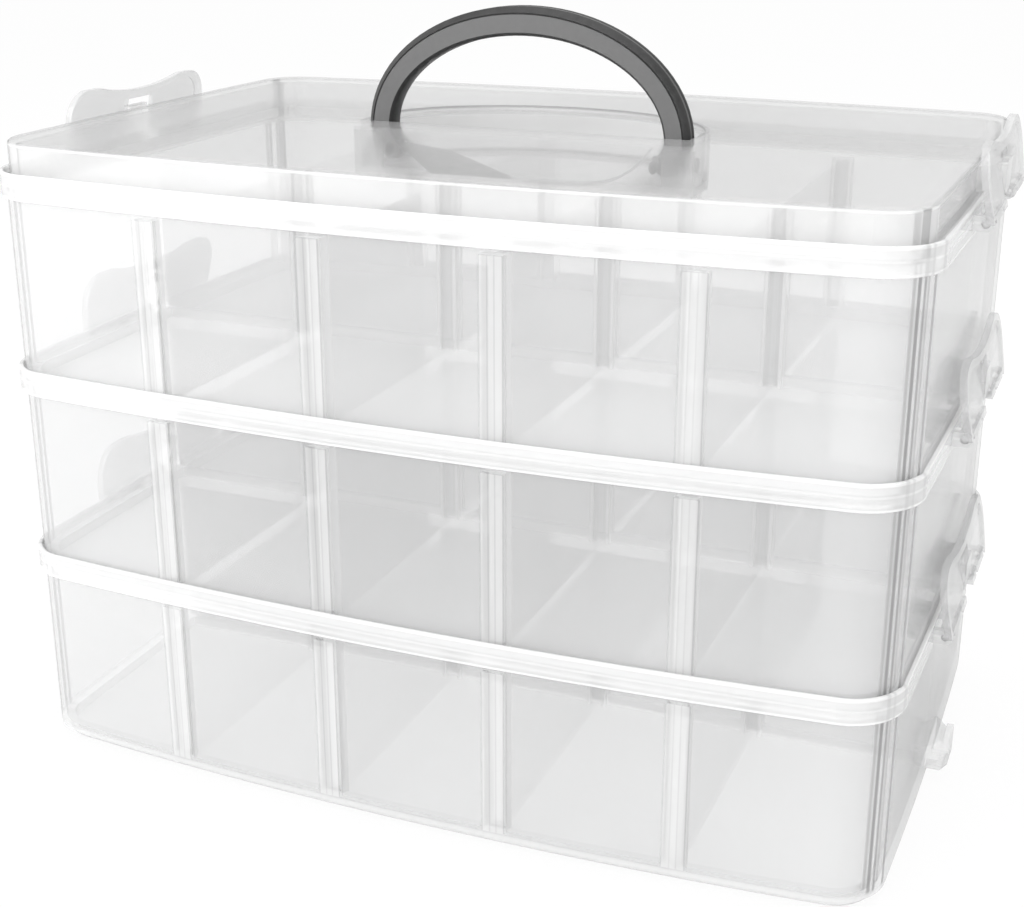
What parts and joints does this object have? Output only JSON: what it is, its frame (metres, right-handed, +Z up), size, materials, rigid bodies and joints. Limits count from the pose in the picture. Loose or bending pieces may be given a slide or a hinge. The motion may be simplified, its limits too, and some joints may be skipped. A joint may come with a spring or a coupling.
{
  "type": "compartment storage box",
  "caption": "Clear stacking compartment box: equal trays with loose dividers under a lid, wing latches on both ends and a carrying handle that folds into the lid.",
  "frame": {"origin": "middle of the underside of the bottom tray, on the floor", "axes": "+X along the long side, towards the right-hand latches; +Z up; -Y is the front, and the handle folds towards +Y"},
  "size_m": [0.3348, 0.218, 0.2665],
  "materials": {
    "clear_plastic": "clear moulded plastic, glossy",
    "smoke_plastic": "smoke-grey translucent plastic, satin"
  },
  "bodies": {
    "bottom_tray": {"tray_bottom": "clear_plastic", "divider_bottom_front_1": "clear_plastic", "divider_bottom_front_2": "clear_plastic", "divider_bottom_front_3": "clear_plastic", "divider_bottom_front_4": "clear_plastic", "divider_bottom_back_1": "clear_plastic", "divider_bottom_back_2": "clear_plastic", "divider_bottom_back_3": "clear_plastic", "divider_bottom_back_4": "clear_plastic"},
    "middle_tray": {"tray_middle": "clear_plastic", "divider_middle_front_1": "clear_plastic", "divider_middle_front_2": "clear_plastic", "divider_middle_front_3": "clear_plastic", "divider_middle_front_4": "clear_plastic", "divider_middle_back_1": "clear_plastic", "divider_middle_back_2": "clear_plastic", "divider_middle_back_3": "clear_plastic", "divider_middle_back_4": "clear_plastic"},
    "top_tray": {"tray_top": "clear_plastic", "divider_top_front_1": "clear_plastic", "divider_top_front_2": "clear_plastic", "divider_top_front_3": "clear_plastic", "divider_top_front_4": "clear_plastic", "divider_top_back_1": "clear_plastic", "divider_top_back_2": "clear_plastic", "divider_top_back_3": "clear_plastic", "divider_top_back_4": "clear_plastic"},
    "lid": {"lid": "clear_plastic"},
    "handle": {"handle": "smoke_plastic"},
    "bottom_left_latch": {"latch_bottom_left": "clear_plastic"},
    "bottom_right_latch": {"latch_bottom_right": "clear_plastic"},
    "middle_left_latch": {"latch_middle_left": "clear_plastic"},
    "middle_right_latch": {"latch_middle_right": "clear_plastic"},
    "top_left_latch": {"latch_top_left": "clear_plastic"},
    "top_right_latch": {"latch_top_right": "clear_plastic"}
  },
  "joints": [
    {"name": "middle_tray_lift", "type": "slide", "parent": "bottom_tray", "child": "middle_tray", "axis": [0, 0, 1], "range_m": [0, 0.02]},
    {"name": "top_tray_lift", "type": "slide", "parent": "middle_tray", "child": "top_tray", "axis": [0, 0, 1], "range_m": [0, 0.02]},
    {"name": "lid_lift", "type": "slide", "parent": "top_tray", "child": "lid", "axis": [0, 0, 1], "range_m": [0, 0.02]},
    {"name": "handle_fold", "type": "hinge", "parent": "lid", "child": "handle", "pos_m": [0, 0, 0.2154], "axis": [-1, 0, 0], "range_deg": [0, 90]},
    {"name": "bottom_left_latch_turn", "type": "hinge", "parent": "bottom_tray", "child": "bottom_left_latch", "pos_m": [-0.1645, 0, 0.0725], "axis": [0, -1, 0], "range_deg": [0, 121]},
    {"name": "bottom_right_latch_turn", "type": "hinge", "parent": "bottom_tray", "child": "bottom_right_latch", "pos_m": [0.1645, 0, 0.0725], "axis": [0, 1, 0], "range_deg": [0, 121]},
    {"name": "middle_left_latch_turn", "type": "hinge", "parent": "middle_tray", "child": "middle_left_latch", "pos_m": [-0.1645, 0, 0.1415], "axis": [0, -1, 0], "range_deg": [0, 121]},
    {"name": "middle_right_latch_turn", "type": "hinge", "parent": "middle_tray", "child": "middle_right_latch", "pos_m": [0.1645, 0, 0.1415], "axis": [0, 1, 0], "range_deg": [0, 121]},
    {"name": "top_left_latch_turn", "type": "hinge", "parent": "top_tray", "child": "top_left_latch", "pos_m": [-0.1645, 0, 0.2105], "axis": [0, -1, 0], "range_deg": [0, 121]},
    {"name": "top_right_latch_turn", "type": "hinge", "parent": "top_tray", "child": "top_right_latch", "pos_m": [0.1645, 0, 0.2105], "axis": [0, 1, 0], "range_deg": [0, 121]}
  ],
  "couplings": [
    {"joint": "bottom_left_latch_turn", "follows": "middle_tray_lift", "rad_per_m": 104.72},
    {"joint": "bottom_right_latch_turn", "follows": "middle_tray_lift", "rad_per_m": 104.72},
    {"joint": "middle_left_latch_turn", "follows": "top_tray_lift", "rad_per_m": 104.72},
    {"joint": "middle_right_latch_turn", "follows": "top_tray_lift", "rad_per_m": 104.72},
    {"joint": "top_left_latch_turn", "follows": "lid_lift", "rad_per_m": 104.72},
    {"joint": "top_right_latch_turn", "follows": "lid_lift", "rad_per_m": 104.72}
  ]
}
